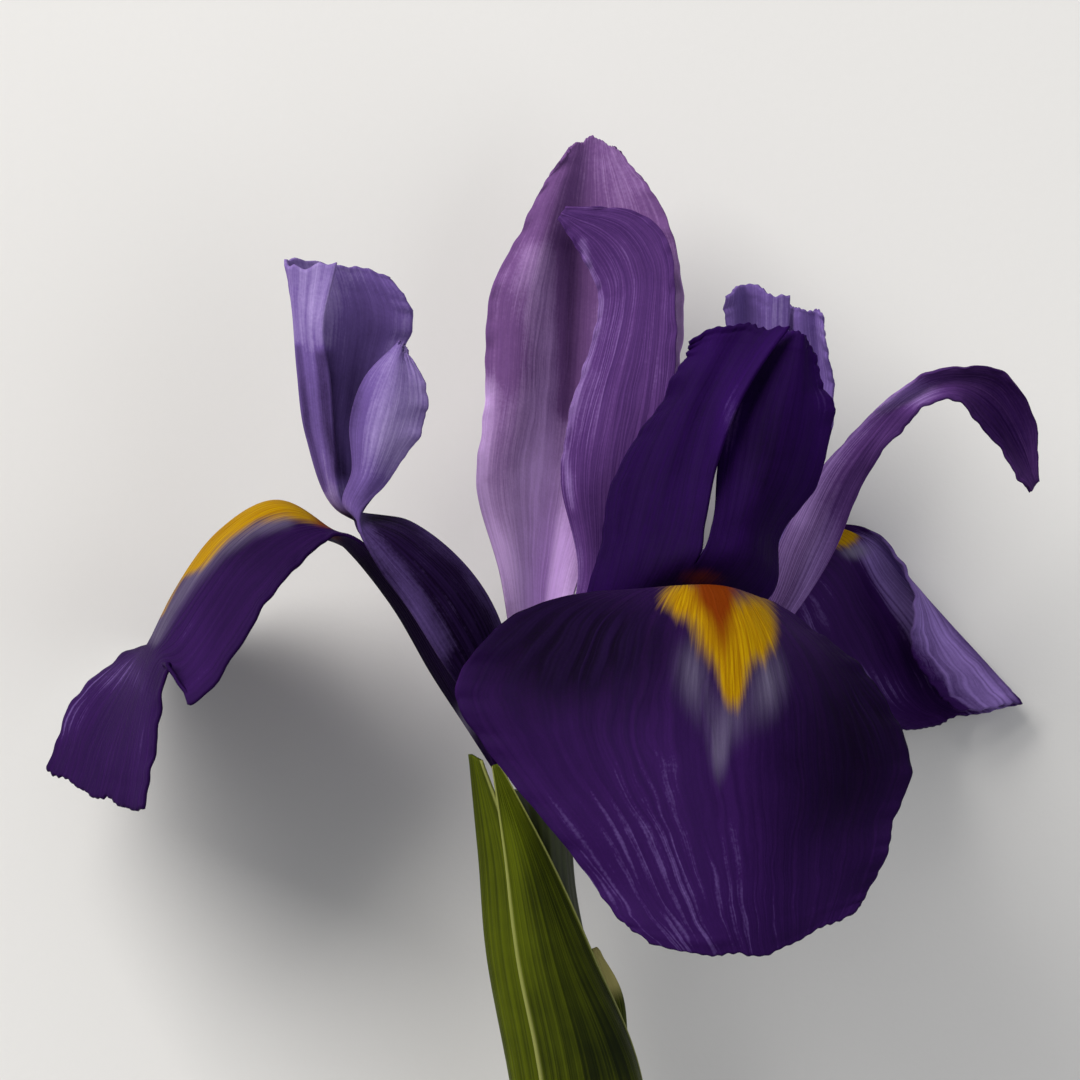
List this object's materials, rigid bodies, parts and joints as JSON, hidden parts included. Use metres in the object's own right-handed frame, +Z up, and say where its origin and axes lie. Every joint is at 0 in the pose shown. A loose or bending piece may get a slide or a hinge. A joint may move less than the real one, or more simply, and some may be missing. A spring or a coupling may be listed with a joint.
{
  "type": "single flowers and blossoms",
  "caption": "Cut iris flower lying on its back: arching violet falls with yellow signals, pale upright standards, frilled style crests, green spathe and stem.",
  "frame": {"origin": "middle of the flower's outline on the surface it lies on", "axes": "+Y along the flower from the cut stem end to the petals, +X to the right as the flower faces the viewer, +Z up out of the flower's face"},
  "size_m": [0.1208, 0.2304, 0.0718],
  "materials": {
    "stem_green": "smooth waxy fresh green stalk",
    "tube_green": "smooth pale green flower tube",
    "spathe_green": "olive green leaf with fine length-wise stripes and pale papery edges",
    "fall_violet": "soft deep violet petal with radiating veins and a yellow signal patch edged in white",
    "standard_pale": "soft pale lilac petal with fine veins and bright margins",
    "standard_mid": "soft mid violet petal with strong veins",
    "style_dark": "soft very dark violet style arm and crests",
    "style_lilac": "soft blue lilac crests over a dark violet arm",
    "stamen_cream": "dusty cream anther and filament"
  },
  "bodies": {
    "root": {"stem": "stem_green", "tube": "tube_green", "spathe_outer": "spathe_green", "spathe_inner": "spathe_green", "spathe_tip": "spathe_green", "fall_front": "fall_violet", "fall_left": "fall_violet", "fall_right": "fall_violet", "standard_back": "standard_pale", "standard_left": "standard_mid", "standard_right": "standard_mid", "style_front": "style_dark", "style_left": "style_lilac", "style_right": "style_lilac", "stamen_front": "stamen_cream", "stamen_left": "stamen_cream", "stamen_right": "stamen_cream"}
  },
  "joints": []
}
